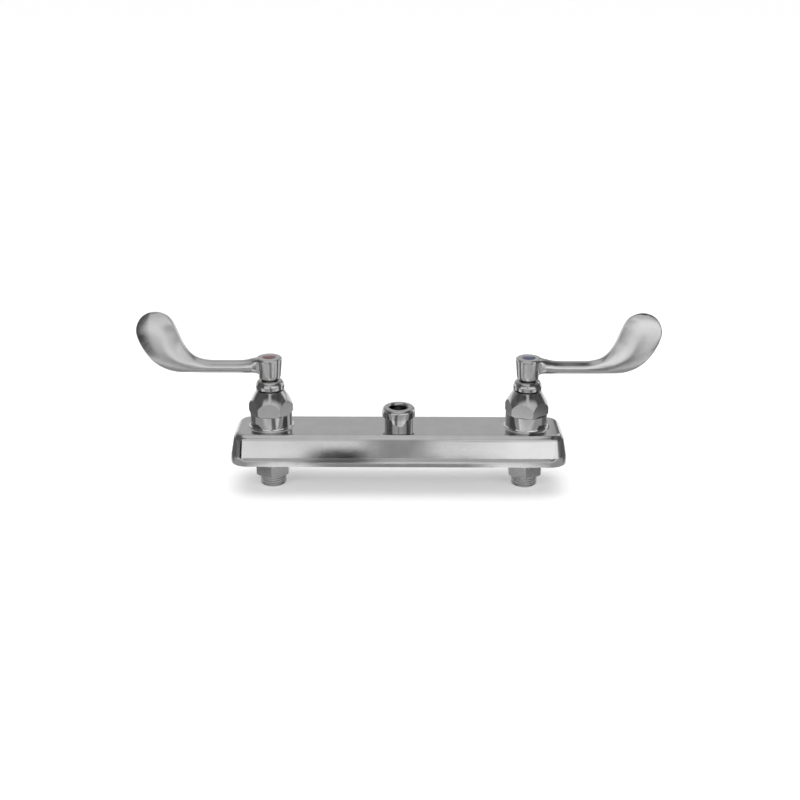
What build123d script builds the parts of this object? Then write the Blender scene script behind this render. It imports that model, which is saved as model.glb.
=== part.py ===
from build123d import *
from math import cos, radians, sin
import os

# Deck-mounted two-handle mixer with wrist-blade handles, supplied without a spout.
# Millimetres. Origin on the deck plane, midway between the two valves.
# +X to the cold side, +Y away from the user, +Z up.

# Body casting
valve_centres = 203.2
body_overhang = 31.7
body_depth = 53.4
body_height = 24.8
body_wall = 3.0
foot_band = 4.5
side_lean = 11.0
corner_radius = 14.0
top_round = 5.5
lean_round = 30.0
rib_thickness = 2.5
rib_place = 51.0

# Valve barrels of the casting
barrel_height = 11.7
barrel_foot_round = 2.2
barrel_wall = 2.5
bonnet_ledge = 1.5
inlet_hole_d = 12.0
floor_web = 2.5

# Centre boss, outlet and waterways
outlet_boss_d = 22.6
outlet_boss_height = 8.7
outlet_socket_d = 18.6
outlet_socket_depth = 8.5
mixing_bore_d = 11.0
waterway_bore_d = 9.0
waterway_wall = 2.5
waterway_rise = 1.0

# Outlet adapter
adapter_d = 26.0
adapter_height = 7.5
adapter_round = 2.6
outlet_thread_d = 15.2
outlet_thread_depth = 12.0
outlet_chamfer = 0.8
adapter_bore_d = 10.0
outlet_ring_section = 1.4

# Deck gasket and inlet shanks
gasket_thickness = 2.0
gasket_gap = 0.3
shank_d = 20.9
shank_bore_d = 12.5
shank_drop = 25.4
shank_chamfer = 1.5
shank_spigot_d = 16.5
shank_socket_depth = 5.0
relief_width = 1.0
relief_depth = 0.7
supply_end_length = 8.3
under_deck_gap = 2.1
washer_d = 30.0
shank_gasket_thickness = 2.0
shank_washer_thickness = 1.5
lock_nut_flats = 25.4
lock_nut_height = 9.8
lock_nut_chamfer = 0.8

# Ceramic cartridge, from the chamber floor up
disc_d = 18.8
disc_thickness = 3.0
disc_film = 0.02
seal_thickness = 2.5
port_mid_radius = 5.6
port_width = 4.2
port_span = 42.0
outflow_width = 8.0
notch_width = 2.6
notch_depth = 1.0
drive_width = 3.0
drive_length = 9.0
drive_depth = 1.2
stem_flange_inset = 0.1
stem_flange_thickness = 3.5
thrust_thickness = 0.8
disc_side_gap = 0.25
housing_wall = 1.65
housing_side_space = 1.2
crown_web = 1.7
window_width = 9.0
window_margin = 0.25
cartridge_ring_section = 1.44
cartridge_ring_room = 1.6
housing_collar_height = 1.6
housing_flange_thickness = 3.0
neck_d = 17.0
stem_d = 12.0
stem_neck_d = 9.5
stem_shaft_height = 22.0
stem_ring_section = 1.36
stem_groove_width = 1.9
stem_groove_pitch = 4.5

# Bonnet nut and gland
bonnet_flats_inset = 1.3
bonnet_height = 18.8
bonnet_hex_height = 6.4
bonnet_top_d = 21.8
bonnet_dome_bulge = 0.3
bonnet_inner_d = 22.0
bonnet_roof = 2.4
bonnet_turns = {"hot": 0.0, "cold": -18.0}
gland_height = 8.4
gland_waist_d = 19.2
gland_bead_d = 22.2
gland_top_d = 15.0
gland_foot_bevel = 1.4
gland_band = 2.0
gland_roof = 2.0
gland_seat_gap = 0.2
packing_thickness = 2.0

# Handle
hub_gap = 0.5
hub_height = 17.8
hub_foot_d = 16.8
hub_top_d = 20.3
hub_top_round = 1.4
hub_foot_round = 2.4
arm_rise = 9.8
arm_d = 10.1
arm_reaches = (27.0, 40.5)
blade_crown_ratio = 0.4
edge_round_ratio = 0.96
tip_depth = 16.2
tip_angles = (30, 52, 70, 83)

# Sections of the arm where it flares into the hub, and of the blade. Each has the reach from the valve's
# axis and the rise from the arm's line of its upper or inner edge, then of its lower or outer edge, and
# then its thickness from front to back.
arm_root = (
    ((2.0, 7.5), (2.0, -5.2), 12.8),
    ((9.0, 7.4), (9.0, -5.15), 12.2),
    ((14.0, 6.5), (14.0, -5.1), 11.0),
    ((20.0, 5.35), (20.0, -5.05), 10.2),
)
blade_edges = (
    ((47.5, 5.3), (51.0, -4.9), 9.8),
    ((55.3, 7.2), (62.9, -4.6), 9.2),
    ((60.9, 11.1), (74.8, -3.7), 8.4),
    ((65.0, 16.8), (87.0, 1.4), 7.6),
    ((68.2, 23.5), (96.2, 11.5), 7.0),
    ((71.6, 32.3), (101.8, 24.3), 6.8),
)

# Splined drive, screw and index button
spline_d = 8.0
spline_depth = 0.4
spline_count = 16
spline_start = 1.5
spline_length = 10.0
spline_top_gap = 0.3
hub_web = 1.2
button_d = 10.2
button_thickness = 1.6
button_dome = 0.5
screw_d = 4.0
screw_length = 12.0
screw_head_d = 8.5
screw_head_height = 2.6
screw_key_flats = 3.0
screw_key_depth = 1.5

# Clearances
fit_gap = 0.05
turn_gap = 0.05
loose_gap = 0.3

# Diameters worked out from the discs outwards
stem_flange_d = disc_d - 2 * stem_flange_inset
housing_bore_d = disc_d + 2 * disc_side_gap
chamber_d = housing_bore_d + 2 * (housing_wall + housing_side_space)
bonnet_bore_d = chamber_d + 2 * bonnet_ledge
barrel_d = bonnet_bore_d + 2 * barrel_wall
bonnet_flats = barrel_d - 2 * bonnet_flats_inset

# Levels above the deck, each resting on the one before
boss_foot = gasket_thickness
socket_top = boss_foot + shank_socket_depth
chamber_floor = socket_top + floor_web
seal_top = chamber_floor + seal_thickness
fixed_top = seal_top + disc_thickness
rotor_foot = fixed_top + disc_film
rotor_top = rotor_foot + disc_thickness
stem_flange_top = rotor_top + stem_flange_thickness
thrust_top = stem_flange_top + thrust_thickness
housing_ceiling = thrust_top + disc_film
seat_step = housing_ceiling + crown_web
clamp_level = seat_step + housing_flange_thickness
barrel_top = body_height + barrel_height
bonnet_top = barrel_top + bonnet_height
gland_foot = bonnet_top + gland_seat_gap
gland_top = gland_foot + gland_height
packing_top = gland_top - gland_roof
neck_top = packing_top - packing_thickness
stem_shoulder = stem_flange_top + stem_shaft_height
hub_foot = gland_top + hub_gap
hub_top = hub_foot + hub_height
arm_level = hub_foot + arm_rise
spline_foot = hub_foot + spline_start
spline_top = spline_foot + spline_length
hub_web_foot = spline_top + spline_top_gap
screw_seat = hub_web_foot + hub_web
outlet_boss_top = body_height + outlet_boss_height
adapter_top = outlet_boss_top + adapter_height
outlet_socket_floor = outlet_boss_top - outlet_socket_depth
waterway_level = chamber_floor + waterway_rise + waterway_bore_d / 2
body_length = valve_centres + 2 * body_overhang

SIDES = {"hot": -1, "cold": 1}


def valve_level(side, height):
    """Level plane centred on one valve's axis."""
    return Plane(origin=(side * valve_centres / 2, 0, height))


def valve_section(side):
    """Upright plane through one valve's axis: x is the distance outwards, y the height."""
    return Plane(origin=(side * valve_centres / 2, 0, 0), x_dir=(side, 0, 0), z_dir=(0, -side, 0))


def valve_axis(side):
    return Axis((side * valve_centres / 2, 0, 0), (0, 0, 1))


def turned(side, *outline):
    """Solid of revolution about a valve's axis, from an outline of (radius, height) points."""
    with BuildPart() as piece:
        with BuildSketch(valve_section(side)):
            with BuildLine():
                Polyline(*outline, close=True)
            make_face()
        revolve(axis=valve_axis(side))
    return piece


def ring(side, foot, top, outer_d, inner_d):
    """Plain washer on a valve's axis."""
    with BuildPart() as piece:
        with BuildSketch(valve_level(side, foot)):
            Circle(outer_d / 2)
            Circle(inner_d / 2, mode=Mode.SUBTRACT)
        extrude(amount=top - foot)
    return piece


def port_slots(first_angle):
    """Two opposite curved slots, added to the sketch in progress."""
    for angle in (first_angle, first_angle + 180):
        half = port_span / 2
        SlotArc(Edge.make_circle(port_mid_radius, Plane.XY, angle - half, angle + half), port_width)


def body_form(inset, height):
    """The body's outer form moved inwards by inset: an upright foot band, then leaning sides."""
    length = body_length - 2 * inset
    depth = body_depth - 2 * inset
    with BuildPart() as form:
        with BuildSketch(Plane.XY):
            RectangleRounded(length, depth, corner_radius - inset)
        extrude(amount=foot_band)
        with BuildSketch(Plane.XY.offset(foot_band)):
            RectangleRounded(length, depth, corner_radius - inset)
        extrude(amount=height - foot_band, taper=side_lean)
    return form


def make_ribs():
    """Cross ribs of the hollow underside. They end halfway into the leaning walls."""
    with BuildPart() as ribs:
        with BuildSketch(Plane.XY.offset(boss_foot)):
            with Locations((-rib_place, 0), (rib_place, 0)):
                Rectangle(rib_thickness, body_depth)
        extrude(amount=body_height - body_wall - boss_foot)
        add(body_form(body_wall / 2, body_height).part, mode=Mode.INTERSECT)
    return ribs


def make_body():
    valve_x = valve_centres / 2
    outer = body_form(0, body_height)
    hollow = body_form(body_wall, body_height - body_wall)
    with BuildPart() as body:
        add(outer.part)
        fillet(body.faces().sort_by(Axis.Z)[-1].edges(), top_round)
        band_edges = body.edges().filter_by_position(Axis.Z, foot_band - fit_gap, foot_band + fit_gap)
        fillet(band_edges, lean_round)
        add(hollow.part, mode=Mode.SUBTRACT)

        # valve barrels with a rounded foot where they leave the top face
        barrel_r = barrel_d / 2
        foot_r = barrel_foot_round
        for side in SIDES.values():
            with BuildSketch(valve_section(side)):
                with BuildLine():
                    Line((0, boss_foot), (barrel_r, boss_foot))
                    Line((barrel_r, boss_foot), (barrel_r, body_height - foot_r))
                    Line((barrel_r, body_height - foot_r), (barrel_r + foot_r, body_height - foot_r))
                    Line((barrel_r + foot_r, body_height - foot_r), (barrel_r + foot_r, body_height))
                    RadiusArc((barrel_r + foot_r, body_height), (barrel_r, body_height + foot_r), foot_r)
                    Line((barrel_r, body_height + foot_r), (barrel_r, barrel_top))
                    Line((barrel_r, barrel_top), (0, barrel_top))
                    Line((0, barrel_top), (0, boss_foot))
                make_face()
            revolve(axis=valve_axis(side))

        # centre boss, waterways and ribs inside the hollow underside
        with BuildSketch(Plane.XY.offset(boss_foot)):
            Circle(outlet_boss_d / 2)
        extrude(amount=outlet_boss_top - boss_foot)
        with BuildSketch(Plane.YZ.offset(-valve_x)):
            with Locations((0, waterway_level)):
                Circle(waterway_bore_d / 2 + waterway_wall)
        extrude(amount=valve_centres)
        add(make_ribs().part)

        # bores
        with BuildSketch(Plane.YZ.offset(-valve_x)):
            with Locations((0, waterway_level)):
                Circle(waterway_bore_d / 2)
        extrude(amount=valve_centres, mode=Mode.SUBTRACT)
        with BuildSketch(Plane.XY.offset(waterway_level)):
            Circle(mixing_bore_d / 2)
        extrude(amount=outlet_boss_top - waterway_level, mode=Mode.SUBTRACT)
        with BuildSketch(Plane.XY.offset(outlet_socket_floor)):
            Circle(outlet_socket_d / 2)
        extrude(amount=outlet_socket_depth, mode=Mode.SUBTRACT)
        valve_bores = (
            (shank_spigot_d, boss_foot, socket_top),
            (inlet_hole_d, socket_top, chamber_floor),
            (chamber_d, chamber_floor, seat_step),
            (bonnet_bore_d, seat_step, barrel_top),
        )
        for bore_d, foot, top in valve_bores:
            with BuildSketch(Plane.XY.offset(foot)):
                with Locations((-valve_x, 0), (valve_x, 0)):
                    Circle(bore_d / 2)
            extrude(amount=top - foot, mode=Mode.SUBTRACT)
    return body


def make_deck_gasket():
    inset = body_wall + gasket_gap
    with BuildPart() as gasket:
        with BuildSketch(Plane.XY):
            RectangleRounded(body_length - 2 * inset, body_depth - 2 * inset, corner_radius - inset)
            with Locations((-valve_centres / 2, 0), (valve_centres / 2, 0)):
                Circle(shank_d / 2 + gasket_gap, mode=Mode.SUBTRACT)
        extrude(amount=gasket_thickness)
    return gasket


def adapter_groove():
    """Foot, top and floor radius of the O-ring groove on the adapter's spigot."""
    foot = outlet_socket_floor + 2 * outlet_ring_section
    spigot_r = outlet_socket_d / 2 - fit_gap
    return foot, foot + outlet_ring_section + 2 * fit_gap, spigot_r - outlet_ring_section


def make_outlet_adapter():
    spigot_r = outlet_socket_d / 2 - fit_gap
    spigot_foot = outlet_socket_floor + fit_gap
    groove_foot, groove_top, groove_r = adapter_groove()
    thread_foot = adapter_top - outlet_thread_depth
    with BuildPart() as adapter:
        with BuildSketch(Plane.XZ):
            with BuildLine():
                Polyline(
                    (adapter_bore_d / 2, spigot_foot),
                    (spigot_r, spigot_foot),
                    (spigot_r, groove_foot),
                    (groove_r, groove_foot),
                    (groove_r, groove_top),
                    (spigot_r, groove_top),
                    (spigot_r, outlet_boss_top),
                    (adapter_d / 2, outlet_boss_top),
                    (adapter_d / 2, adapter_top),
                    (outlet_thread_d / 2, adapter_top),
                    (outlet_thread_d / 2, thread_foot),
                    (adapter_bore_d / 2, thread_foot),
                    close=True,
                )
            make_face()
        revolve(axis=Axis.Z)
        top_edges = adapter.edges().filter_by(GeomType.CIRCLE).group_by(Axis.Z)[-1].sort_by(SortBy.RADIUS)
        fillet(top_edges[-1], adapter_round)
        chamfer(top_edges[0], outlet_chamfer)
    return adapter


def torus_at(origin, mid_radius, section_d):
    with BuildPart() as o_ring:
        with BuildSketch(Plane(origin=origin, x_dir=(1, 0, 0), z_dir=(0, -1, 0))):
            with Locations((mid_radius, 0)):
                Circle(section_d / 2)
        revolve(axis=Axis(origin, (0, 0, 1)))
    return o_ring


def make_outlet_o_ring():
    groove_foot, groove_top, groove_r = adapter_groove()
    mid_radius = groove_r + outlet_ring_section / 2
    return torus_at((0, 0, (groove_foot + groove_top) / 2), mid_radius, outlet_ring_section)


def make_inlet_shank(side):
    thread_r = shank_d / 2
    spigot_r = shank_spigot_d / 2 - fit_gap
    relief_foot = -shank_drop + shank_chamfer + supply_end_length
    return turned(
        side,
        (shank_bore_d / 2, -shank_drop),
        (thread_r - shank_chamfer, -shank_drop),
        (thread_r, -shank_drop + shank_chamfer),
        (thread_r, relief_foot),
        (thread_r - relief_depth, relief_foot),
        (thread_r - relief_depth, relief_foot + relief_width),
        (thread_r, relief_foot + relief_width),
        (thread_r, boss_foot),
        (spigot_r, boss_foot),
        (spigot_r, socket_top),
        (shank_bore_d / 2, socket_top),
    )


def make_lock_nut(side):
    top = -under_deck_gap - shank_gasket_thickness - shank_washer_thickness
    foot = top - lock_nut_height
    inner_r = shank_d / 2 + 2 * fit_gap
    corner_r = lock_nut_flats / 2 / cos(radians(30))
    edge = lock_nut_chamfer
    with BuildPart() as nut:
        with BuildSketch(valve_level(side, foot)):
            RegularPolygon(lock_nut_flats / 2, 6, major_radius=False, rotation=30)
        extrude(amount=lock_nut_height)
        with BuildSketch(valve_section(side)):
            with BuildLine():
                Polyline(
                    (inner_r + edge, foot),
                    (corner_r - edge, foot),
                    (corner_r, foot + edge),
                    (corner_r, top - edge),
                    (corner_r - edge, top),
                    (inner_r, top),
                    (inner_r, foot + edge),
                    close=True,
                )
            make_face()
        revolve(axis=valve_axis(side), mode=Mode.INTERSECT)
    return nut


def make_cartridge_housing(side):
    bore_r = housing_bore_d / 2
    lower_r = bore_r + housing_wall
    collar_r = chamber_d / 2 - 2 * fit_gap
    flange_r = bonnet_bore_d / 2 - 4 * fit_gap
    groove_r = chamber_d / 2 - cartridge_ring_section - 2 * fit_gap
    groove_foot = seat_step - cartridge_ring_room
    collar_foot = groove_foot - housing_collar_height
    housing_foot = chamber_floor + loose_gap
    shoulder = stem_shoulder + loose_gap
    with BuildPart() as housing:
        with BuildSketch(valve_section(side)):
            with BuildLine():
                Polyline(
                    (bore_r, housing_foot),
                    (lower_r, housing_foot),
                    (lower_r, collar_foot),
                    (collar_r, collar_foot),
                    (collar_r, groove_foot),
                    (groove_r, groove_foot),
                    (groove_r, seat_step),
                    (flange_r, seat_step),
                    (flange_r, clamp_level),
                    (neck_d / 2, clamp_level),
                    (neck_d / 2, neck_top),
                    (stem_neck_d / 2 + turn_gap, neck_top),
                    (stem_neck_d / 2 + turn_gap, shoulder),
                    (stem_d / 2 + turn_gap, shoulder),
                    (stem_d / 2 + turn_gap, housing_ceiling),
                    (bore_r, housing_ceiling),
                    close=True,
                )
            make_face()
        revolve(axis=valve_axis(side))
        # two windows that let the water out to the side, and two ribs that hold the fixed disc
        window_foot = rotor_top + window_margin
        window_height = collar_foot - window_margin - window_foot
        with BuildSketch(valve_level(side, window_foot)):
            Rectangle(chamber_d, window_width)
        extrude(amount=window_height, mode=Mode.SUBTRACT)
        rib_reach = disc_d / 2 - notch_depth + fit_gap
        with BuildSketch(valve_level(side, seal_top)):
            Rectangle(2 * bore_r + housing_wall, notch_width - 2 * fit_gap)
            Rectangle(2 * rib_reach, notch_width, mode=Mode.SUBTRACT)
        extrude(amount=disc_thickness)
    return housing


def make_cartridge_o_ring(side):
    groove_r = chamber_d / 2 - cartridge_ring_section - 2 * fit_gap
    mid_radius = groove_r + fit_gap + cartridge_ring_section / 2
    height = seat_step - cartridge_ring_room / 2
    return torus_at((side * valve_centres / 2, 0, height), mid_radius, cartridge_ring_section)


def make_seat_seal(side):
    return ring(side, chamber_floor, seal_top, disc_d, inlet_hole_d + 2 * loose_gap)


def make_fixed_disc(side):
    with BuildPart() as disc:
        with BuildSketch(valve_level(side, seal_top)):
            Circle(disc_d / 2)
            with Locations((disc_d / 2, 0), (-disc_d / 2, 0)):
                Rectangle(2 * notch_depth, notch_width, mode=Mode.SUBTRACT)
        extrude(amount=disc_thickness)
        with BuildSketch(valve_level(side, seal_top)):
            port_slots(90)
        extrude(amount=disc_thickness, mode=Mode.SUBTRACT)
    return disc


def make_rotating_disc(side):
    with BuildPart() as disc:
        with BuildSketch(valve_level(side, rotor_foot)):
            Circle(disc_d / 2)
        extrude(amount=disc_thickness)
        with BuildSketch(valve_level(side, rotor_foot)):
            port_slots(0)
        extrude(amount=disc_thickness, mode=Mode.SUBTRACT)
        slot_depth = drive_depth + fit_gap
        with BuildSketch(valve_level(side, rotor_top - slot_depth)):
            Rectangle(drive_width + 2 * fit_gap, drive_length + 2 * fit_gap)
        extrude(amount=slot_depth, mode=Mode.SUBTRACT)
    return disc


def spline_star(radius):
    """Toothed outline of the splined drive, added to the sketch in progress."""
    points = []
    for tooth in range(spline_count):
        tip_angle = radians(360 / spline_count * tooth)
        root_angle = radians(360 / spline_count * (tooth + 0.5))
        root_radius = radius - spline_depth
        points.append((radius * cos(tip_angle), radius * sin(tip_angle)))
        points.append((root_radius * cos(root_angle), root_radius * sin(root_angle)))
    Polygon(*points, align=None)


def stem_groove_feet():
    """Foot levels of the two O-ring grooves on the stem."""
    first = clamp_level + stem_groove_width
    return first, first + stem_groove_pitch


def make_stem(side):
    shaft_r = stem_d / 2
    groove_r = shaft_r - stem_ring_section - fit_gap
    outline = [(0, rotor_top), (stem_flange_d / 2, rotor_top), (stem_flange_d / 2, stem_flange_top)]
    outline.append((shaft_r, stem_flange_top))
    for foot in stem_groove_feet():
        outline.append((shaft_r, foot))
        outline.append((groove_r, foot))
        outline.append((groove_r, foot + stem_groove_width))
        outline.append((shaft_r, foot + stem_groove_width))
    outline.append((shaft_r, stem_shoulder))
    outline.append((stem_neck_d / 2, stem_shoulder))
    outline.append((stem_neck_d / 2, spline_foot))
    outline.append((0, spline_foot))
    with BuildPart() as stem:
        with BuildSketch(valve_section(side)):
            with BuildLine():
                Polyline(*outline, close=True)
            make_face()
        revolve(axis=valve_axis(side))
        with BuildSketch(valve_level(side, spline_foot)):
            spline_star(spline_d / 2)
        extrude(amount=spline_length)
        # water gaps from over the disc's ports out to the flange's rim, and the bar that drives the disc
        port_reach = port_mid_radius - port_width / 2
        with BuildSketch(valve_level(side, rotor_top)):
            with Locations((port_reach + stem_flange_d / 2, 0), (-port_reach - stem_flange_d / 2, 0)):
                Rectangle(stem_flange_d, outflow_width)
        extrude(amount=stem_flange_thickness, mode=Mode.SUBTRACT)
        with BuildSketch(valve_level(side, rotor_top - drive_depth)):
            Rectangle(drive_width, drive_length)
        extrude(amount=drive_depth)
        screw_hole_depth = screw_length + 2 * loose_gap - (screw_seat - spline_top)
        with BuildSketch(valve_level(side, spline_top - screw_hole_depth)):
            Circle(screw_d / 2 + fit_gap)
        extrude(amount=screw_hole_depth, mode=Mode.SUBTRACT)
    return stem


def make_stem_o_rings(side):
    mid_radius = (stem_d - stem_ring_section) / 2
    with BuildPart() as rings:
        for foot in stem_groove_feet():
            with BuildSketch(valve_section(side)):
                with Locations((mid_radius, foot + stem_groove_width / 2)):
                    Circle(stem_ring_section / 2)
            revolve(axis=valve_axis(side))
    return rings


def make_thrust_washer(side):
    return ring(side, stem_flange_top, thrust_top, stem_flange_d, stem_d + 2 * fit_gap)


def make_bonnet_nut(side):
    spigot_r = bonnet_bore_d / 2 - fit_gap
    inner_r = bonnet_inner_d / 2
    neck_hole_r = neck_d / 2 + fit_gap
    bonnet_turn = bonnet_turns["hot" if side == SIDES["hot"] else "cold"]
    corner_r = bonnet_flats / 2 / cos(radians(30))
    hex_top = barrel_top + bonnet_hex_height
    roof_foot = bonnet_top - bonnet_roof
    dome_mid = (
        (corner_r + bonnet_top_d / 2) / 2 + bonnet_dome_bulge,
        (hex_top + bonnet_top) / 2 + bonnet_dome_bulge,
    )
    edge = (bonnet_flats / 2 + corner_r) / 2
    with BuildPart() as bonnet:
        with BuildSketch(valve_level(side, clamp_level)):
            Circle(corner_r)
        extrude(amount=barrel_top - clamp_level)
        with BuildSketch(valve_level(side, barrel_top)):
            RegularPolygon(bonnet_flats / 2, 6, major_radius=False, rotation=bonnet_turn)
        extrude(amount=bonnet_height)
        with BuildSketch(valve_section(side)):
            with BuildLine():
                Polyline(
                    (bonnet_top_d / 2, bonnet_top),
                    (neck_hole_r, bonnet_top),
                    (neck_hole_r, roof_foot),
                    (inner_r, roof_foot),
                    (inner_r, clamp_level),
                    (spigot_r, clamp_level),
                    (spigot_r, barrel_top),
                    (edge, barrel_top),
                    (corner_r, barrel_top + corner_r - edge),
                    (corner_r, hex_top),
                )
                ThreePointArc((corner_r, hex_top), dome_mid, (bonnet_top_d / 2, bonnet_top))
            make_face()
        revolve(axis=valve_axis(side), mode=Mode.INTERSECT)
    return bonnet


def make_gland_nut(side):
    inner_r = neck_d / 2 + fit_gap
    stem_hole_r = stem_neck_d / 2 + 2 * fit_gap
    foot_r = gland_waist_d / 2
    band_r = gland_bead_d / 2
    top_r = gland_top_d / 2
    band_foot = gland_foot + gland_foot_bevel
    band_top = band_foot + gland_band
    shoulder = top_r + (band_r - top_r) * cos(radians(45))
    shoulder_top = band_top + (gland_top - band_top) * sin(radians(45))
    with BuildPart() as gland:
        with BuildSketch(valve_section(side)):
            with BuildLine():
                Polyline(
                    (top_r, gland_top),
                    (stem_hole_r, gland_top),
                    (stem_hole_r, packing_top),
                    (inner_r, packing_top),
                    (inner_r, gland_foot),
                    (foot_r, gland_foot),
                    (band_r, band_foot),
                    (band_r, band_top),
                )
                ThreePointArc((band_r, band_top), (shoulder, shoulder_top), (top_r, gland_top))
            make_face()
        revolve(axis=valve_axis(side))
    return gland


def crowned_section(width, thickness):
    """Section of the arm or blade: two crowned faces, joined by rounded edges."""
    flatness = min(1, (width / thickness - 1) / 3)
    shoulder = thickness / 2 * (1 - blade_crown_ratio * max(flatness, 0.02))
    half = width / 2
    edge_r = min(shoulder, half) * edge_round_ratio
    low = shoulder - edge_r
    bend = edge_r * cos(radians(45))
    with BuildSketch() as section:
        with BuildLine():
            for turn in (1, -1):
                inner = turn * (half - edge_r)
                end = turn * half
                corner = inner + turn * bend
                rise = turn * (low + bend)
                ThreePointArc((inner, turn * shoulder), (0, turn * thickness / 2), (-inner, turn * shoulder))
                ThreePointArc((-inner, turn * shoulder), (-corner, rise), (-end, turn * low))
                Line((-end, turn * low), (-end, -turn * low))
                ThreePointArc((-end, -turn * low), (-corner, -rise), (-inner, -turn * shoulder))
        make_face()
    return section


def handle_sections():
    """Middle, across and size of each section, as reach and rise from the arm's line."""
    arm_r = arm_d / 2
    arm = tuple(((reach, arm_r), (reach, -arm_r), arm_d) for reach in arm_reaches)
    sections = []
    for inner, outer, thickness in arm_root + arm + blade_edges:
        across = Vector(outer[0] - inner[0], outer[1] - inner[1])
        middle = Vector(inner[0] + outer[0], inner[1] + outer[1]) / 2
        sections.append((middle, across.normalized(), across.length, thickness))
    # rounded tip, as a quarter ellipse beyond the last pair
    along = Vector(-across.Y, across.X).normalized()
    for angle in tip_angles:
        share = cos(radians(angle))
        place = middle + along * tip_depth * sin(radians(angle))
        sections.append((place, across.normalized(), across.length * share, thickness * share))
    return sections


def make_handle(side):
    valve_x = side * valve_centres / 2
    placed_sections = []
    for middle, across, width, thickness in handle_sections():
        section_plane = Plane(
            origin=(valve_x + side * middle.X, 0, arm_level + middle.Y),
            x_dir=(side * across.X, 0, across.Y),
            z_dir=(-side * across.Y, 0, across.X),
        )
        placed_sections.append((section_plane, crowned_section(width, thickness)))
    with BuildPart() as handle:
        for section_plane, section in placed_sections:
            with BuildSketch(section_plane):
                add(section.sketch)
        loft()
        with BuildSketch(valve_section(side)):
            with BuildLine():
                Polyline(
                    (0, hub_foot),
                    (hub_foot_d / 2, hub_foot),
                    (hub_top_d / 2, hub_top),
                    (0, hub_top),
                    close=True,
                )
            make_face()
            fillet(vertices().sort_by(Axis.X)[-1], hub_top_round)
            fillet(vertices().group_by(Axis.Y)[0].sort_by(Axis.X)[-1], hub_foot_round)
        revolve(axis=valve_axis(side))
        # splined socket from below, screw hole and button recess from above
        with BuildSketch(valve_level(side, hub_foot)):
            Circle(stem_neck_d / 2 + 2 * fit_gap)
        extrude(amount=spline_start, mode=Mode.SUBTRACT)
        with BuildSketch(valve_level(side, spline_foot)):
            spline_star(spline_d / 2 + fit_gap)
        extrude(amount=hub_web_foot - spline_foot, mode=Mode.SUBTRACT)
        with BuildSketch(valve_level(side, hub_web_foot)):
            Circle(screw_d / 2 + 2 * fit_gap)
        extrude(amount=hub_web, mode=Mode.SUBTRACT)
        with BuildSketch(valve_level(side, screw_seat)):
            Circle(button_d / 2)
        extrude(amount=hub_top - screw_seat, mode=Mode.SUBTRACT)
    return handle


def make_handle_screw(side):
    with BuildPart() as screw:
        with BuildSketch(valve_level(side, screw_seat - screw_length)):
            Circle(screw_d / 2)
        extrude(amount=screw_length)
        with BuildSketch(valve_level(side, screw_seat)):
            Circle(screw_head_d / 2)
        extrude(amount=screw_head_height)
        with BuildSketch(valve_level(side, screw_seat + screw_head_height - screw_key_depth)):
            RegularPolygon(screw_key_flats / 2, 6, major_radius=False)
        extrude(amount=screw_key_depth, mode=Mode.SUBTRACT)
    return screw


def make_index_button(side):
    button_r = button_d / 2 - fit_gap
    foot = hub_top - button_thickness
    with BuildPart() as button:
        with BuildSketch(valve_section(side)):
            with BuildLine():
                Polyline((0, hub_top + button_dome), (0, foot), (button_r, foot), (button_r, hub_top))
                TangentArc((0, hub_top + button_dome), (button_r, hub_top), tangent=(1, 0))
            make_face()
        revolve(axis=valve_axis(side))
    return button


def make_gland_packing(side):
    return ring(side, neck_top, packing_top, neck_d - 2 * fit_gap, stem_neck_d + 2 * turn_gap)


def make_shank_gasket(side):
    top = -under_deck_gap
    return ring(side, top - shank_gasket_thickness, top, washer_d, shank_d + 2 * fit_gap)


def make_shank_washer(side):
    top = -under_deck_gap - shank_gasket_thickness
    return ring(side, top - shank_washer_thickness, top, washer_d, shank_d + 4 * fit_gap)


shared_pieces = {
    "faucet_body": make_body,
    "deck_gasket": make_deck_gasket,
    "outlet_adapter": make_outlet_adapter,
    "outlet_o_ring": make_outlet_o_ring,
}
valve_pieces = {
    "handle": make_handle,
    "handle_screw": make_handle_screw,
    "index_button": make_index_button,
    "stem": make_stem,
    "stem_o_rings": make_stem_o_rings,
    "thrust_washer": make_thrust_washer,
    "rotating_disc": make_rotating_disc,
    "fixed_disc": make_fixed_disc,
    "seat_seal": make_seat_seal,
    "cartridge_housing": make_cartridge_housing,
    "cartridge_o_ring": make_cartridge_o_ring,
    "bonnet_nut": make_bonnet_nut,
    "gland_packing": make_gland_packing,
    "gland_nut": make_gland_nut,
    "inlet_shank": make_inlet_shank,
    "shank_gasket": make_shank_gasket,
    "shank_washer": make_shank_washer,
    "lock_nut": make_lock_nut,
}

os.makedirs("parts", exist_ok=True)
for name, make in shared_pieces.items():
    piece = make()
    piece.part.label = name
    export_step(piece.part, f"parts/{name}.step")
for side_name, side in SIDES.items():
    for name, make in valve_pieces.items():
        piece = make(side)
        piece.part.label = f"{side_name}_{name}"
        export_step(piece.part, f"parts/{side_name}_{name}.step")
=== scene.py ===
import bpy
import bmesh
from math import cos, pi, radians, sin
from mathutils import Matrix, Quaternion, Vector


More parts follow.
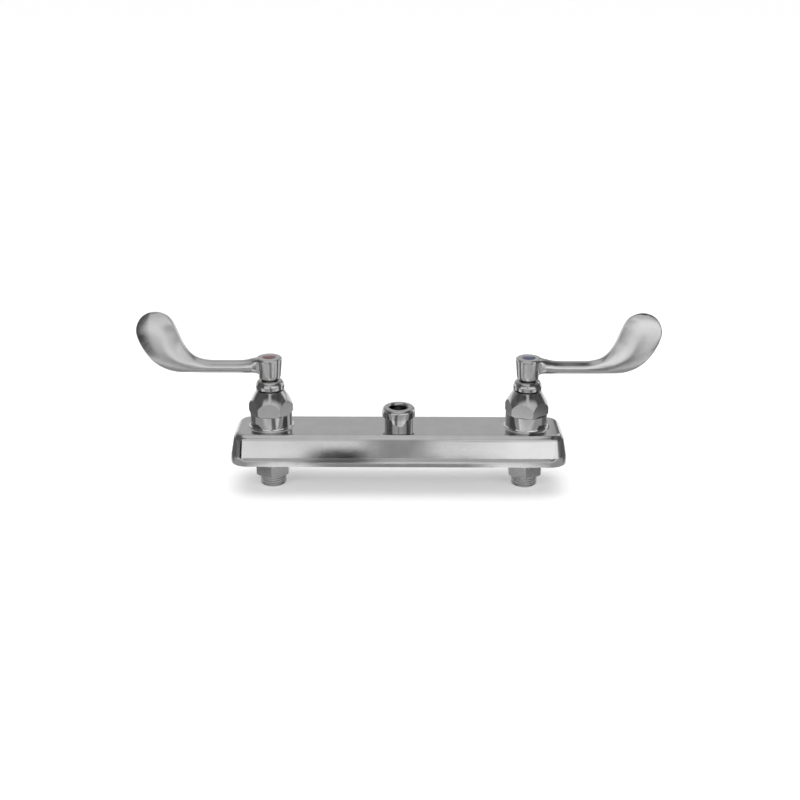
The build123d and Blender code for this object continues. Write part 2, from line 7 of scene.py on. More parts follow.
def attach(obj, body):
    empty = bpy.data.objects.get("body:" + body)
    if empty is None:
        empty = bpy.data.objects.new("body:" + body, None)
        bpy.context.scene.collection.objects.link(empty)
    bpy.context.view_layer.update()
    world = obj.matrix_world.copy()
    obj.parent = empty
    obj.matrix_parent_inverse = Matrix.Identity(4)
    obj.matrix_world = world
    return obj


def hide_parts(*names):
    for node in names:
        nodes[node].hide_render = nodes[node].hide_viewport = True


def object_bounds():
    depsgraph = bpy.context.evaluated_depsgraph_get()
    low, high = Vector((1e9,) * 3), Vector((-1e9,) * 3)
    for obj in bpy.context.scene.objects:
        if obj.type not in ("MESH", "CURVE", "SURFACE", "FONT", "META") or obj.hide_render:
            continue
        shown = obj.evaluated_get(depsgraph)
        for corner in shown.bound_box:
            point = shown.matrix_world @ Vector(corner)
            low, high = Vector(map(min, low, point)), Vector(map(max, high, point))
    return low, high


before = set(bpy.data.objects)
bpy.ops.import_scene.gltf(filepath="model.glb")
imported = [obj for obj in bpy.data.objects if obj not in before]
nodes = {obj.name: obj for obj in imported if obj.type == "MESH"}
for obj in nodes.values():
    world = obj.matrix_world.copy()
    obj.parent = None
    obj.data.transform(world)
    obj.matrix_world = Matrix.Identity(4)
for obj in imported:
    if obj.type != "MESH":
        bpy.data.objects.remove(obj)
cad_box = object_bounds()
mm = 0.001

# The side that each valve stands on, and its distance from the middle in millimetres
SIDES = {"hot": -1, "cold": 1}
valve_x = 101.6

# Camera, at the photograph's viewing angle
camera_elevation = radians(20.709)
camera_azimuth = radians(0.139)
camera_roll = radians(0.134)
camera_distance = 0.9474
camera_target = Vector((0.00098, 0.0, 0.04646))
camera_reach = 80.0
sensor_width = 36.0
image_width = 800
focal_pixels = 1194.5

# Lamps, which reflections don't show: place, aim, lengths of the sides, power
LAMPS = {
    "key_left": ((-1.3, -1.6, 0.9), (0, 0, 0.05), (1.2, 1.2), 14),
    "key_right": ((1.3, -1.6, 0.9), (0, 0, 0.05), (1.2, 1.2), 14),
    "overhead": ((0, 0.2, 1.8), (0, 0, 0), (2.0, 2.0), 18),
}

# Studio floor. Its glow, from the middle outwards, lets it meet the white wall without a line.
floor_radius = 18.0
floor_segments = 96
floor_white = 0.86
floor_glow = (0.24, 0.52)
floor_glow_rise = (0.35, 3.0)
floor_gap = 0.0002
floor_level = cad_box[0].z - floor_gap

# Brightness of the studio walls. Places around run from 0 behind the object to 1 in front of it, and
# heights are sines of the angle above the horizon.
wall_around = (
    (0.0, 0.62),
    (0.04, 0.58),
    (0.12, 0.42),
    (0.33, 0.32),
    (0.63, 0.30),
    (0.77, 0.62),
    (0.88, 0.78),
    (1.0, 0.85),
)
overhead_level = 0.78
overhead_rise = (0.80, 0.96)
horizon_fade = (0.10, 0.26)
least_level = 0.001

# A dark beam high across the front, lower towards the sides. Its foot is counted as height over reach
# to the front, where the reach is no less than beam_reach and is drawn halfway to beam_bend.
beam_shade = 0.88
beam_foot = (0.78, 0.98)
beam_top = (0.72, 0.79)
beam_reach = 0.35
beam_bend = 0.64
beam_around = ((0.35, 0.0), (0.5, 0.7), (0.93, 1.0), (0.985, 1.0), (0.997, 0.2))

card_lift = 0.0006


def on_floor(layer):
    """Height of a card that lies on the floor, in this layer of cards."""
    return floor_level + layer * card_lift


# Cards that only reflections see, which paint reflections into the chrome. Those of shade 1 and more are
# painted highlights that glow though they light nothing; the darker ones on the floor are painted dark
# patches on the floor, which close around the object stand in for its shadow, and the other darker ones
# are painted dark reflections. Columns: place, size, shade, soft share of the edges, and how the card
# lies
CARDS = {
    # Painted highlights: glowing cards that light nothing
    "painted_highlight_right": ((0.45, -0.75, 0.0), (0.74, 0.80), 1.42, (0.28, 0.88), "front"),
    "painted_highlight_left": ((-0.46, -0.75, 0.0), (0.62, 0.17), 1.15, (0.25, 0.60), "front"),
    # Painted dark reflections, standing up in front, behind and at the sides
    "painted_dark_reflection_front": ((-0.004, -0.76, 0.0), (0.145, 1.36), 0.42, (0.80, 0.62), "front"),
    "painted_dark_reflection_front_right": ((0.15, -0.75, 0.10), (0.15, 0.16), 0.35, (0.50, 0.50), "front"),
    "back_flag": ((0.28, 0.50, 0.21), (0.20, 0.24), 0.20, (0.35, 0.40), "front"),
    "painted_dark_reflection_low": ((-0.065, -0.36, -0.014), (0.094, 0.052), 0.07, (0.70, 0.35), "front"),
    "side_flag_left": ((-0.32, -0.06, 0.10), (0.46, 0.50), 0.14, (0.45, 0.70), "side"),
    "side_flag_right": ((0.32, -0.01, 0.10), (0.31, 0.50), 0.12, (0.45, 0.70), "side"),
    # Painted dark patch on the floor in front
    "painted_dark_floor_patch": ((-0.055, -0.22, on_floor(2)), (0.09, 0.27), 0.18, (0.75, 0.45), "flat"),
    # Painted shadow on the floor in front of the object
    "low_flag": ((0.0, -0.27, on_floor(1)), (0.80, 0.38), 0.60, (0.55, 0.60), "flat"),
    # Painted dark patch on the floor far in front
    "painted_dark_floor_far_front": ((-0.01, -0.95, on_floor(1)), (0.46, 0.76), 0.45, (0.45, 0.25), "flat"),
    # Painted shadow on the floor close around and beneath the object
    "floor_flag_back": ((0.0, 0.19, on_floor(1)), (0.28, 0.22), 0.25, (0.40, 0.50), "flat"),
    "floor_flag_left": ((-0.30, 0.06, on_floor(1)), (0.30, 0.36), 0.16, (0.45, 0.40), "flat"),
    "floor_flag_right": ((0.30, 0.06, on_floor(1)), (0.30, 0.36), 0.16, (0.45, 0.40), "flat"),
    "arm_flag_left": ((-0.20, -0.07, on_floor(3)), (0.20, 0.16), 0.46, (0.40, 0.40), "flat"),
    "arm_flag_right": ((0.20, -0.07, on_floor(3)), (0.20, 0.16), 0.46, (0.40, 0.40), "flat"),
    "middle_flag": ((0.0, -0.085, on_floor(3)), (0.18, 0.07), 0.40, (0.40, 0.40), "flat"),
    # Painted dark reflections: one standing at the side, one lying on the floor
    "painted_dark_reflection_low_left": ((-0.30, -0.185, 0.002), (0.094, 0.074), 0.02, (0.35, 0.35), "side"),
    "painted_dark_floor_right": ((0.345, -0.19, on_floor(4)), (0.08, 0.08), 0.15, (0.50, 0.50), "flat"),
    # Painted highlight behind, at the side
    "painted_highlight_back_right": ((0.30, 0.21, 0.21), (0.26, 0.14), 1.00, (0.50, 0.50), "side"),
    # Painted dark patches on the floor in front
    "arm_floor_left": ((-0.22, -0.26, on_floor(5)), (0.18, 0.20), 0.48, (0.50, 0.50), "flat"),
    "arm_floor_right": ((0.22, -0.26, on_floor(5)), (0.18, 0.20), 0.22, (0.50, 0.50), "flat"),
    # Painted dark reflection overhead
    "overhead_flag": ((0.225, -0.06, 0.30), (0.16, 0.44), 0.10, (0.20, 0.35), "flat"),
}
# The two axes that a card lies along
CARD_AXES = {"front": "XZ", "side": "YZ", "flat": "XY"}

# Noise on the surfaces: size of its features in millimetres, detail, roughness, stretch
NOISES = {
    "smudge": (14.0, 4.0, 0.6, (1, 1, 1)),
    "speck": (1.6, 2.0, 0.5, (1, 1, 1)),
    "wipe": (0.5, 2.0, 0.6, (0.06, 1, 1)),
    "wave": (34.0, 1.0, 0.5, (1, 1, 1)),
    "cloud": (6.0, 3.0, 0.5, (1, 1, 1)),
    "pore": (0.35, 2.0, 0.5, (1, 1, 1)),
}
# Levels of noise between which a surface changes, and the shares of its roughness that they give
smudge_range = (0.35, 0.7)
noise_range = (0.3, 0.7)
metal_rough_range = (0.55, 1.6)
plastic_rough_range = (0.85, 1.15)
stain = 0.05
polish_depth = 0.0012
bevel_samples = 6

# Looks of the record's slots. Wave and grain are depths and edge is a radius, in millimetres.
METALS = {
    "body_chrome": {"base": 0.55, "roughness": 0.07, "wave": 0.10},
    "adapter_chrome": {"base": 0.48, "roughness": 0.08, "wave": 0.02},
    "handle_chrome": {"base": 0.52, "roughness": 0.17},
    "bonnet_chrome": {"base": 0.52, "roughness": 0.08, "wave": 0.02, "edge": 0.3},
    "gland_chrome": {"base": 0.48, "roughness": 0.09, "wave": 0.02, "edge": 0.25},
    "shank_plating": {"base": 0.54, "roughness": 0.26, "wave": 0.01, "grain": 0.004},
    # Lock nuts: darker base, partly a darker plating and partly painted shade for the shadowed floor
    # they reflect
    "nut_plating": {"base": 0.31, "roughness": 0.24, "wave": 0.01, "grain": 0.004, "edge": 0.3},
    "valve_brass": {"base": 0.60, "roughness": 0.24, "grain": 0.003, "tint": (1.0, 0.80, 0.50)},
    "fastener_steel": {"base": 0.50, "roughness": 0.3, "grain": 0.003},
}
PLASTICS = {
    "gasket_rubber": {"colour": (0.022, 0.022, 0.023), "roughness": 0.7, "grain": 0.02},
    "seal_rubber": {"colour": (0.02, 0.02, 0.021), "roughness": 0.5},
    "disc_ceramic": {"colour": (0.78, 0.77, 0.73), "roughness": 0.25, "grain": 0.003, "vary": 0.03},
    "packing_plastic": {"colour": (0.82, 0.82, 0.80), "roughness": 0.45, "vary": 0.03},
    "hot_index": {"colour": (0.11, 0.030, 0.030), "roughness": 0.3, "coat": 0.3},
    "cold_index": {"colour": (0.026, 0.033, 0.090), "roughness": 0.3, "coat": 0.3},
}
# Sockets of the Mix node for its first value, its last value and the result
MIX_NUMBERS = (2, 3, 0)
MIX_COLOURS = (6, 7, 2)

# Levels of the handle above the deck, in millimetres
hub_foot = 64.4
arm_level = 74.2

# Outline of the hub from the screw hole over the top, down the outside and up into the splined socket:
# radius, height above the hub's foot, and whether the edge there is sharp
hub_segments = 16
hub_outline = (
    (2.1, 11.8, True),
    (2.1, 13.0, True),
    (5.1, 13.0, True),
    (5.1, 17.55, True),
    (5.35, 17.8, True),
    (7.3, 17.8, False),
    (8.9, 17.74, False),
    (9.75, 17.28, False),
    (10.02, 16.4, False),
    (9.65, 12.7, False),
    (9.27, 8.85, False),
    (8.88, 4.8, False),
    (8.62, 2.5, False),
    (7.95, 0.72, False),
    (6.3, 0.02, False),
    (4.85, 0.0, True),
    (4.85, 1.5, True),
    (4.05, 1.5, True),
    (4.05, 11.8, True),
)
# The opening in the hub's net that the arm grows from, and how far the middle of its top edge is raised
root_first_row = 8
root_last_row = 11
root_columns = 3
root_top_lift = 0.55

# Sections along the arm and the blade: reach and rise of the upper or inner edge, of the lower or outer
# edge, and the thickness from front to back. The rise is counted from the arm's line.
arm_sections = (
    ((12.8, 6.85), (12.8, -5.1), 11.4),
    ((16.6, 5.9), (16.6, -5.08), 10.6),
    ((21.0, 5.25), (21.0, -5.05), 10.2),
    ((27.0, 5.05), (27.0, -5.05), 10.1),
    ((34.0, 5.05), (34.0, -5.05), 10.1),
    ((40.5, 5.05), (40.5, -5.05), 10.1),
    ((47.5, 5.3), (51.0, -4.9), 9.8),
    ((55.3, 7.2), (62.9, -4.6), 9.2),
    ((60.9, 11.1), (74.8, -3.7), 8.4),
    ((65.0, 16.8), (87.0, 1.4), 7.6),
    ((68.2, 23.5), (96.2, 11.5), 7.0),
    ((71.6, 32.3), (101.8, 24.3), 6.8),
)
# The rounded tip beyond the last section: its depth, and its own sections as angles
tip_depth = 16.2
tip_angles = (30, 52, 70, 83)

# Form of a section, from 0 for a round one to 1 for a flat one. An angle is given for a round section,
# with what a flat one adds to it.
least_flatness = 0.02
flatness_stretch = 3
blade_crown = 0.4
edge_share = 0.96
near_angle = (15, 15)
far_angle = (45, 38)
side_angle = 75

fit_rounds = 60
smooth_level = 3

# Turned pieces, as outlines of (radius, height) around their inside and outside. Threads are cut on the
# outline's stretch that starts at the given point: pitch, depth (inwards is negative), from, to.
turned_columns = 96
shank_outline = (
    (6.25, 7.0),
    (6.25, -25.4),
    (8.95, -25.4),
    (10.45, -23.9),
    (10.45, -15.6),
    (9.75, -15.6),
    (9.75, -14.6),
    (10.45, -14.6),
    (10.45, 2.0),
    (8.2, 2.0),
    (8.2, 7.0),
)
shank_threads = {3: (1.814, -1.05, -23.9, -15.6), 7: (1.814, -1.05, -14.6, -0.2)}
adapter_top = 41.0
adapter_r = 13.0
adapter_round = 2.6
adapter_outline = (
    (5.0, 25.05),
    (5.0, 29.0),
    (7.6, 29.0),
    (7.6, 40.2),
    (8.4, 41.0),
    *(
        (
            adapter_r - adapter_round + adapter_round * sin(radians(angle)),
            adapter_top - adapter_round + adapter_round * cos(radians(angle)),
        )
        for angle in range(0, 91, 10)
    ),
    (13.0, 33.5),
    (9.25, 33.5),
    (9.25, 29.3),
    (7.85, 29.3),
    (7.85, 27.8),
    (9.25, 27.8),
    (9.25, 25.05),
)
adapter_threads = {2: (1.411, 0.75, 30.3, 40.2)}
# Rows of one turn of a thread, as places along the pitch and shares of the depth, and the height over
# which a thread runs out at its ends
thread_rows = ((0.0, 0), (0.15, 0), (0.50, 1), (0.65, 1))
thread_fade = 0.9
sharp_angle = 32
weld_distance = 1e-7


def link_object(obj):
    bpy.context.scene.collection.objects.link(obj)
    return obj


def aim(obj, direction, roll=0.0):
    """Turn a camera or lamp so that it looks along a direction."""
    obj.rotation_mode = "QUATERNION"
    obj.rotation_quaternion = direction.to_track_quat("-Z", "Y") @ Quaternion((0, 0, 1), roll)


def make_camera():
    data = bpy.data.cameras.new("camera")
    data.sensor_width = sensor_width
    data.lens = focal_pixels * sensor_width / image_width
    data.clip_end = camera_reach
    camera = link_object(bpy.data.objects.new("camera", data))
    back = Vector((
        sin(camera_azimuth) * cos(camera_elevation),
        -cos(camera_azimuth) * cos(camera_elevation),
        sin(camera_elevation),
    ))
    camera.location = camera_target + back * camera_distance
    aim(camera, -back, camera_roll)
    bpy.context.scene.camera = camera


class Tree:
    """Small helper to write node trees."""

    def __init__(self, owner):
        owner.use_nodes = True
        self.tree = owner.node_tree
        self.tree.nodes.clear()

    def add(self, kind, inputs=(), **settings):
        node = self.tree.nodes.new(kind)
        for name, value in settings.items():
            setattr(node, name, value)
        for key, value in dict(inputs).items():
            self.put(node.inputs[key], value)
        return node

    def put(self, socket, value):
        if isinstance(value, bpy.types.NodeSocket):
            self.tree.links.new(value, socket)
        elif isinstance(value, bpy.types.Node):
            self.tree.links.new(value.outputs[0], socket)
        else:
            socket.default_value = value

    def math(self, operation, first, second=0.0):
        return self.add("ShaderNodeMath", {0: first, 1: second}, operation=operation).outputs[0]

    def total(self, *parts):
        """Sum of values, each times its share."""
        products = [self.math("MULTIPLY", value, share) for value, share in parts]
        result = products[0]
        for product in products[1:]:
            result = self.math("ADD", result, product)
        return result

    def ranged(self, value, low, high, first, last, smooth=False):
        inputs = {"Value": value, "From Min": low, "From Max": high, "To Min": first, "To Max": last}
        kind = "SMOOTHSTEP" if smooth else "LINEAR"
        return self.add("ShaderNodeMapRange", inputs, interpolation_type=kind).outputs["Result"]

    def mix(self, factor, first, last, sockets=MIX_NUMBERS, kind="FLOAT"):
        inputs = {"Factor": factor, sockets[0]: first, sockets[1]: last}
        return self.add("ShaderNodeMix", inputs, data_type=kind).outputs[sockets[2]]

    def mix_colours(self, factor, first, last):
        return self.mix(factor, [*first, 1], [*last, 1], MIX_COLOURS, "RGBA")

    def ramp(self, value, stops):
        node = self.add("ShaderNodeValToRGB", {"Fac": value})
        elements = node.color_ramp.elements
        while len(elements) < len(stops):
            elements.new(1.0)
        for element, (position, level) in zip(elements, stops):
            element.position = position
            element.color = (level, level, level, 1)
        return node.outputs["Color"]

    def rays(self, *names):
        """1 for rays of any of these kinds."""
        path = self.add("ShaderNodeLightPath")
        found = path.outputs[names[0]]
        for name in names[1:]:
            found = self.math("MAXIMUM", found, path.outputs[name])
        return found


def make_world():
    """Studio walls: white at the horizon, bright in front and behind, grey at the sides and softly lit
    above, with a dark beam high across the front."""
    world = bpy.data.worlds.new("studio")
    bpy.context.scene.world = world
    tree = Tree(world)
    place = tree.add("ShaderNodeTexCoord")
    split = tree.add("ShaderNodeSeparateXYZ", {0: place.outputs["Generated"]})
    across, depth, height = (split.outputs[axis] for axis in "XYZ")
    squares = tree.math("ADD", tree.math("POWER", across, 2.0), tree.math("POWER", depth, 2.0))
    level = tree.math("MAXIMUM", tree.math("SQRT", squares), least_level)
    facing = tree.ranged(tree.math("DIVIDE", depth, level), 1, -1, 0, 1)
    wall = tree.ramp(facing, wall_around)
    reach = tree.math("MAXIMUM", tree.math("MULTIPLY", depth, -1.0), beam_reach)
    reach = tree.math("MULTIPLY", tree.math("ADD", reach, beam_bend), 0.5)
    beam = tree.ranged(tree.math("DIVIDE", height, reach), *beam_foot, 0, beam_shade)
    beam = tree.math("MULTIPLY", beam, tree.ranged(height, *beam_top, 1, 0))
    beam = tree.math("MULTIPLY", beam, tree.ramp(facing, beam_around))
    wall = tree.math("MULTIPLY", wall, tree.math("SUBTRACT", 1.0, beam))
    overhead = tree.ranged(height, *overhead_rise, 0, 1, smooth=True)
    shade = tree.mix(overhead, wall, overhead_level)
    horizon = tree.ranged(height, *horizon_fade, 1, 0, smooth=True)
    shade = tree.mix(horizon, shade, 1.0)
    shown = tree.add("ShaderNodeBackground", {"Color": shade})
    tree.add("ShaderNodeOutputWorld", {"Surface": shown})


def make_floor():
    bm = bmesh.new()
    bmesh.ops.create_circle(bm, cap_ends=True, radius=floor_radius, segments=floor_segments)
    mesh = bpy.data.meshes.new("floor")
    bm.to_mesh(mesh)
    bm.free()
    floor = link_object(bpy.data.objects.new("floor", mesh))
    floor.location.z = floor_level
    material = bpy.data.materials.new("floor_white")
    tree = Tree(material)
    paint = tree.add("ShaderNodeBsdfDiffuse", {"Color": (floor_white, floor_white, floor_white, 1)})
    shown = tree.rays("Is Camera Ray", "Is Glossy Ray", "Is Transmission Ray")
    place = tree.add("ShaderNodeTexCoord").outputs["Object"]
    away = tree.add("ShaderNodeVectorMath", {0: place}, operation="LENGTH").outputs["Value"]
    lift = tree.ranged(away, *floor_glow_rise, *floor_glow, smooth=True)
    glow = tree.add("ShaderNodeEmission", {"Strength": tree.math("MULTIPLY", shown, lift)})
    both = tree.add("ShaderNodeAddShader", {0: paint, 1: glow})
    tree.add("ShaderNodeOutputMaterial", {"Surface": both})
    mesh.materials.append(material)


def make_card(name, middle, size, level, fade, lying):
    """Studio card that only reflections see, which paints a highlight or a dark reflection into the
    chrome, with soft edges over the outer share fade.
    """
    axes = CARD_AXES[lying]
    halves = [length / 2 for length in size]
    points = []
    for signs in ((-1, -1), (1, -1), (1, 1), (-1, 1)):
        corner = dict.fromkeys("XYZ", 0.0)
        corner.update({axis: sign * half for axis, sign, half in zip(axes, signs, halves)})
        points.append(tuple(corner.values()))
    card = mesh_object(name, points, [(0, 1, 2, 3)], smooth=False)
    card.location = middle
    material = bpy.data.materials.new(f"{name}_shade")
    tree = Tree(material)
    split = tree.add("ShaderNodeSeparateXYZ", {0: tree.add("ShaderNodeTexCoord").outputs["Object"]})
    soft = []
    for axis, half, share in zip(axes, halves, fade):
        out = tree.math("ABSOLUTE", tree.math("DIVIDE", split.outputs[axis], half))
        soft.append(tree.ranged(out, 1 - share, 1, 1, 0, smooth=True))
    clear = tree.add("ShaderNodeBsdfTransparent")
    glow = tree.add("ShaderNodeEmission", {"Strength": level})
    mixed = tree.add("ShaderNodeMixShader", {0: tree.math("MULTIPLY", *soft), 1: clear, 2: glow})
    tree.add("ShaderNodeOutputMaterial", {"Surface": mixed})
    card.data.materials.append(material)
    # Seen only in reflections: the card lights nothing and casts no shadow, so its glow is a painted
    # reflection
    card.visible_camera = card.visible_shadow = card.visible_diffuse = False


def make_lamp(name, place, target, size, power):
    data = bpy.data.lights.new(name, "AREA")
    data.shape = "RECTANGLE"
    data.size, data.size_y = size
    data.energy = power
    lamp = link_object(bpy.data.objects.new(name, data))
    lamp.location = place
    aim(lamp, Vector(target) - Vector(place))
    lamp.visible_glossy = False


def noise(tree, place, kind):
    size, detail, roughness, stretch = NOISES[kind]
    scaled = tree.add("ShaderNodeMapping", {"Vector": place, "Scale": stretch})
    inputs = {"Vector": scaled, "Scale": 1 / (size * mm), "Detail": detail, "Roughness": roughness}
    return tree.add("ShaderNodeTexNoise", inputs).outputs["Fac"]


def metal(name, base, roughness, wave=0.05, grain=0.0, tint=(1, 1, 1), edge=0.0):
    """Metal with uneven polish, faint wiping marks and a slightly wavy surface."""
    material = bpy.data.materials.new(name)
    tree = Tree(material)
    place = tree.add("ShaderNodeTexCoord").outputs["Object"]
    smudge, speck, wipe = (noise(tree, place, kind) for kind in ("smudge", "speck", "wipe"))
    dull = [base * part * (1 - stain) for part in tint]
    bright = [min(1.0, base * part * (1 + stain / 2)) for part in tint]
    colour = tree.mix_colours(tree.ranged(smudge, *smudge_range, 0, 1), dull, bright)
    uneven = tree.total((smudge, 0.6), (speck, 0.25), (wipe, 0.15))
    rough = tree.ranged(uneven, *noise_range, *(roughness * share for share in metal_rough_range))
    wavy = tree.add("ShaderNodeBump", {"Height": noise(tree, place, "wave"), "Distance": wave * mm})
    if edge:
        rounded = tree.add("ShaderNodeBevel", {"Radius": edge * mm}, samples=bevel_samples)
        tree.put(wavy.inputs["Normal"], rounded)
    fine = tree.total((speck, 0.5), (wipe, 0.5))
    depth = (polish_depth + grain) * mm
    bump = tree.add("ShaderNodeBump", {"Height": fine, "Distance": depth, "Normal": wavy})
    shader = tree.add("ShaderNodeBsdfPrincipled", {
        "Base Color": colour, "Metallic": 1.0, "Roughness": rough, "Normal": bump,
    })
    tree.add("ShaderNodeOutputMaterial", {"Surface": shader})
    return material


def plastic(name, colour, roughness, coat=0.0, grain=0.01, vary=0.12):
    """Moulded plastic, rubber or ceramic, with a fine grain and slight colour variation."""
    material = bpy.data.materials.new(name)
    tree = Tree(material)
    place = tree.add("ShaderNodeTexCoord").outputs["Object"]
    cloud, pore = (noise(tree, place, kind) for kind in ("cloud", "pore"))
    dark = [part * (1 - vary) for part in colour]
    light = [min(1.0, part * (1 + vary)) for part in colour]
    paint = tree.mix_colours(tree.ranged(cloud, *noise_range, 0, 1), dark, light)
    least, most = (min(1.0, roughness * share) for share in plastic_rough_range)
    rough = tree.ranged(cloud, *noise_range, least, most)
    bump = tree.add("ShaderNodeBump", {"Height": pore, "Distance": grain * mm})
    shader = tree.add("ShaderNodeBsdfPrincipled", {
        "Base Color": paint, "Roughness": rough, "Normal": bump, "Coat Weight": coat,
    })
    tree.add("ShaderNodeOutputMaterial", {"Surface": shader})
    return material


def make_materials():
    """One material for each slot of the record."""
    looks = {slot: metal(f"{slot}_look", **form) for slot, form in METALS.items()}
    looks.update({slot: plastic(f"{slot}_look", **form) for slot, form in PLASTICS.items()})
    return looks


def section_points(inner, outer, thickness, share=1.0, shift=0.0):
    """Twelve points around a section of the arm or blade: four around the upper or inner edge, two along
    the back, four around the lower or outer edge, two along the front."""
    across = Vector((inner[0] - outer[0], 0, inner[1] - outer[1]))
    width = across.length * share
    across.normalize()
    along = Vector((across.z, 0, -across.x))
    middle = Vector(((inner[0] + outer[0]) / 2, 0, (inner[1] + outer[1]) / 2)) + along * shift
    thickness *= share
    half = width / 2
    flat = min(1.0, max(least_flatness, (width / thickness - 1) / flatness_stretch))
    shoulder = thickness / 2 * (1 - blade_crown * flat)
    edge = min(shoulder, half) * edge_share
    reach = half - edge
    low = shoulder - edge

    def on_edge(angle):
        return reach + edge * cos(angle), low + edge * sin(angle)

    # a third of the way from the middle to the edge's round, a curved face has dropped by a ninth
    side_face = (reach / 3, thickness / 2 - (thickness / 2 - shoulder) / 9)
    mix = min(1.0, 2 * flat)
    side = [a * (1 - mix) + b * mix for a, b in zip(on_edge(radians(side_angle)), side_face)]
    quarter = (
        on_edge(radians(near_angle[0] + near_angle[1] * flat)),
        on_edge(radians(far_angle[0] + far_angle[1] * flat)),
        side,
    )
    back = [(a, b) for a, b in quarter] + [(-a, b) for a, b in reversed(quarter)]
    front = [(-a, -b) for a, b in quarter] + [(a, -b) for a, b in reversed(quarter)]
    turned = (back + front)[-2:] + (back + front)[:-2]
    return [middle + across * a + Vector((0, b, 0)) for a, b in turned]


def handle_cage():
    """Control net of one handle: vertices as (reach, depth, height above the arm's line), faces, and the
    pairs of vertices that share a sharp edge."""
    points, faces, sharp = [], [], set()
    rows = len(hub_outline)
    for radius, height, _ in hub_outline:
        for column in range(hub_segments):
            angle = radians(360 / hub_segments) * (column - root_columns / 2)
            level = hub_foot + height - arm_level
            points.append(Vector((radius * cos(angle), radius * sin(angle), level)))

    def hub(row, column):
        return row % rows * hub_segments + column % hub_segments

    for row in range(rows):
        for column in range(hub_segments):
            if root_first_row <= row < root_last_row and column < root_columns:
                continue
            a, b = hub(row, column), hub(row, column + 1)
            faces.append((a, hub(row + 1, column), hub(row + 1, column + 1), b))
            if hub_outline[row][2]:
                sharp.add((a, b))
    # the arm's first ring is the edge of the opening in the hub's side
    top, foot, last = root_first_row, root_last_row, root_columns
    ring = [hub(top, c) for c in range(last + 1)]
    ring += [hub(r, last) for r in range(top + 1, foot)]
    ring += [hub(foot, c) for c in range(last, -1, -1)]
    ring += [hub(r, 0) for r in range(foot - 1, top, -1)]
    for index in ring[1:last]:
        points[index].z += root_top_lift
    sections = [(*section, 1.0, 0.0) for section in arm_sections]
    for angle in tip_angles:
        shrink, shift = cos(radians(angle)), tip_depth * sin(radians(angle))
        sections.append((*arm_sections[-1], shrink, shift))
    for section in sections:
        new = list(range(len(points), len(points) + len(ring)))
        points += section_points(*section)
        for i in range(len(ring)):
            j = (i + 1) % len(ring)
            faces.append((ring[i], ring[j], new[j], new[i]))
        ring = new
    # close the tip with strips across its thickness
    count = len(ring)
    pairs = [(ring[(1 - k) % count], ring[(2 + k) % count]) for k in range(count // 2)]
    for (a, b), (c, d) in zip(pairs, pairs[1:]):
        faces.append((a, b, d, c))
    used = sorted({v for face in faces for v in face})
    place = {old: new for new, old in enumerate(used)}
    points = [points[old] for old in used]
    faces = [tuple(place[v] for v in face) for face in faces]
    sharp = {tuple(sorted((place[a], place[b]))) for a, b in sharp if a in place and b in place}
    return points, faces, sharp


def fitted_net(points, faces, sharp):
    """Move the control points so that the smooth surface passes through their first places. A point's
    place on the surface is that of a Catmull-Clark limit, or of a cubic curve on a sharp rim."""
    count = len(points)
    near = [set() for _ in range(count)]
    around = [[] for _ in range(count)]
    creased = [[] for _ in range(count)]
    for face in faces:
        for i, v in enumerate(face):
            around[v].append(face)
            near[v].update((face[i - 1], face[(i + 1) % len(face)]))
    for a, b in sharp:
        creased[a].append(b)
        creased[b].append(a)
    net = [p.copy() for p in points]
    for _ in range(fit_rounds):
        limit = []
        centres = {face: sum((net[v] for v in face), Vector()) / len(face) for face in faces}
        for v in range(count):
            if len(creased[v]) == 2:
                limit.append((4 * net[v] + net[creased[v][0]] + net[creased[v][1]]) / 6)
                continue
            n = len(near[v])
            total = sum(((net[v] + net[other]) / 2 for other in near[v]), Vector())
            total += sum((centres[face] for face in around[v]), Vector())
            limit.append(net[v] * (n - 3) / (n + 5) + total * 4 / (n * (n + 5)))
        for v in range(count):
            net[v] += points[v] - limit[v]
    return net


def mesh_object(name, points, faces, sharp=(), smooth=True):
    mesh = bpy.data.meshes.new(name)
    mesh.from_pydata(points, [], faces)
    mesh.validate()
    mesh.update()
    if smooth:
        mesh.shade_smooth()
    if sharp:
        crease = mesh.attributes.new("crease_edge", "FLOAT", "EDGE")
        for edge in mesh.edges:
            if tuple(sorted(edge.vertices)) in sharp:
                crease.data[edge.index].value = 1.0
                edge.use_edge_sharp = True
    return link_object(bpy.data.objects.new(name, mesh))


def thread_grid(points, faces, radius, pitch, depth, foot, top):
    """Add a stretch of right-hand thread; return its lowest and its highest ring of vertices."""
    count, per_turn = turned_columns, len(thread_rows)
    turns = int((top - foot) / pitch) + 2
    rows = [turn + place for turn in range(turns + 1) for place, _ in thread_rows]
    rows = rows[:turns * per_turn + 1]
    start = len(points)
    for i, place in enumerate(rows):
        for j in range(count):
            height = min(top, max(foot, foot + pitch * (place + j / count - 1)))
            cut = min(1.0, (height - foot) / thread_fade, (top - height) / thread_fade)
            r = radius + depth * cut * thread_rows[i % per_turn][1]
            points.append((r, 2 * pi * j / count, height))

    def vertex(i, j):
        if j == count:
            i, j = i + per_turn, 0
        return start + min(i, len(rows) - 1) * count + j

    for i in range(len(rows) - 1):
        for j in range(count):
            faces.append((vertex(i, j), vertex(i, j + 1), vertex(i + 1, j + 1), vertex(i + 1, j)))
    last = len(rows) - 1
    return [vertex(0, j) for j in range(count)], [vertex(last, j) for j in range(count)]


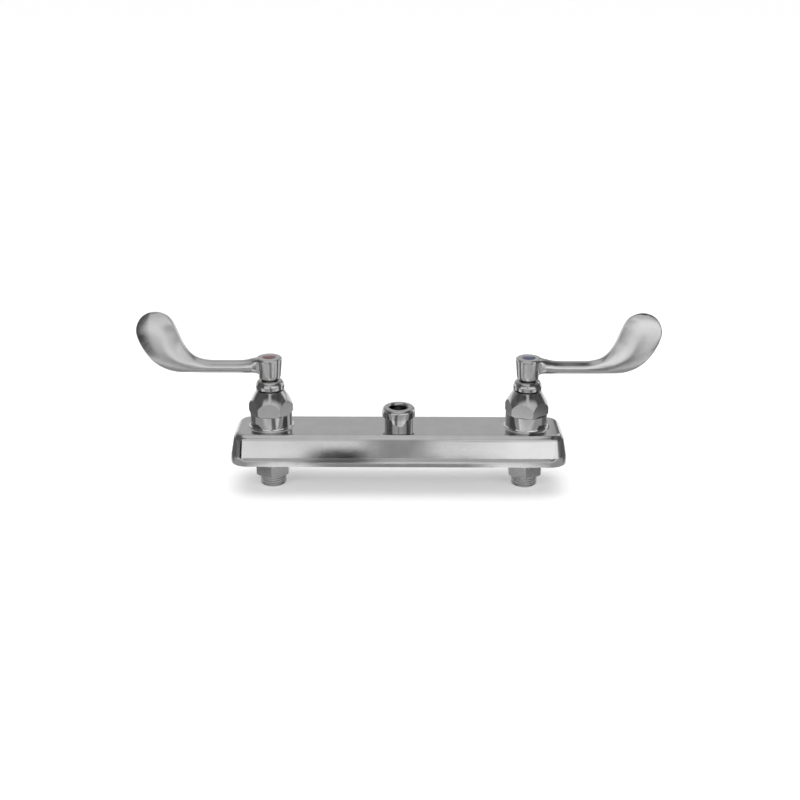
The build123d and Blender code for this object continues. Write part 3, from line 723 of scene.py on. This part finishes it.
def turned_piece(name, axis_x, outline, threads):
    """Closed body turned about an upright axis, with threads on some stretches of its outline."""
    count = turned_columns
    points, faces, first, last = [], [], None, None

    def join(low, high):
        for j in range(count):
            k = (j + 1) % count
            faces.append((low[j], low[k], high[k], high[j]))

    for index, (radius, height) in enumerate(outline):
        ring = [len(points) + j for j in range(count)]
        points += [(radius, 2 * pi * j / count, height) for j in range(count)]
        if last:
            join(last, ring)
        first, last = first or ring, ring
        if index in threads:
            low, high = thread_grid(points, faces, radius, *threads[index])
            join(last, low)
            last = high
    join(last, first)
    placed = [((axis_x + r * cos(a)) * mm, r * sin(a) * mm, z * mm) for r, a, z in points]
    piece = mesh_object(name, placed, faces)
    bm = bmesh.new()
    bm.from_mesh(piece.data)
    bmesh.ops.remove_doubles(bm, verts=bm.verts, dist=weld_distance)
    bmesh.ops.dissolve_degenerate(bm, edges=bm.edges, dist=weld_distance)
    bmesh.ops.recalc_face_normals(bm, faces=bm.faces)
    for edge in bm.edges:
        edge.smooth = len(edge.link_faces) != 2 or edge.calc_face_angle() < radians(sharp_angle)
    bm.to_mesh(piece.data)
    bm.free()
    return piece


def make_turned_pieces(looks):
    rows = [("outlet_adapter", 0.0, adapter_outline, adapter_threads, "adapter_chrome")]
    for name, side in SIDES.items():
        shank = (side * valve_x, shank_outline, shank_threads, "shank_plating")
        rows.append((f"{name}_inlet_shank", *shank))
    for node, axis_x, outline, threads, slot in rows:
        piece = turned_piece(f"{node}_threaded", axis_x, outline, threads)
        piece.data.materials.append(looks[slot])
        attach(piece, "fixture")
        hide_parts(node)


def make_handles(looks):
    points, faces, sharp = handle_cage()
    net = fitted_net(points, faces, sharp)
    for name, side in SIDES.items():
        placed = [Vector((side * (valve_x + p.x), p.y, arm_level + p.z)) * mm for p in net]
        turned = [face if side > 0 else tuple(reversed(face)) for face in faces]
        piece = mesh_object(f"{name}_handle_smooth", placed, turned, sharp)
        bm = bmesh.new()
        bm.from_mesh(piece.data)
        bmesh.ops.recalc_face_normals(bm, faces=bm.faces)
        bm.to_mesh(piece.data)
        bm.free()
        smooth = piece.modifiers.new("smooth", "SUBSURF")
        smooth.levels = smooth.render_levels = smooth_level
        settle(piece)
        piece.data.materials.append(looks["handle_chrome"])
        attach(piece, f"{name}_valve")
        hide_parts(f"{name}_handle")


def settle(piece):
    """Keep the smooth mesh itself, in place of its control net and modifier."""
    net = piece.data
    graph = bpy.context.evaluated_depsgraph_get()
    piece.data = bpy.data.meshes.new_from_object(piece.evaluated_get(graph))
    piece.data.name = net.name
    piece.modifiers.clear()
    bpy.data.meshes.remove(net)


make_camera()
make_world()
make_floor()
for name, card in CARDS.items():
    make_card(name, *card)
for name, lamp in LAMPS.items():
    make_lamp(name, *lamp)
looks = make_materials()
for node in nodes.values():
    for place in node.material_slots:
        place.material = looks[place.material.name]
make_handles(looks)
make_turned_pieces(looks)

bpy.context.scene.view_settings.view_transform = "Standard"
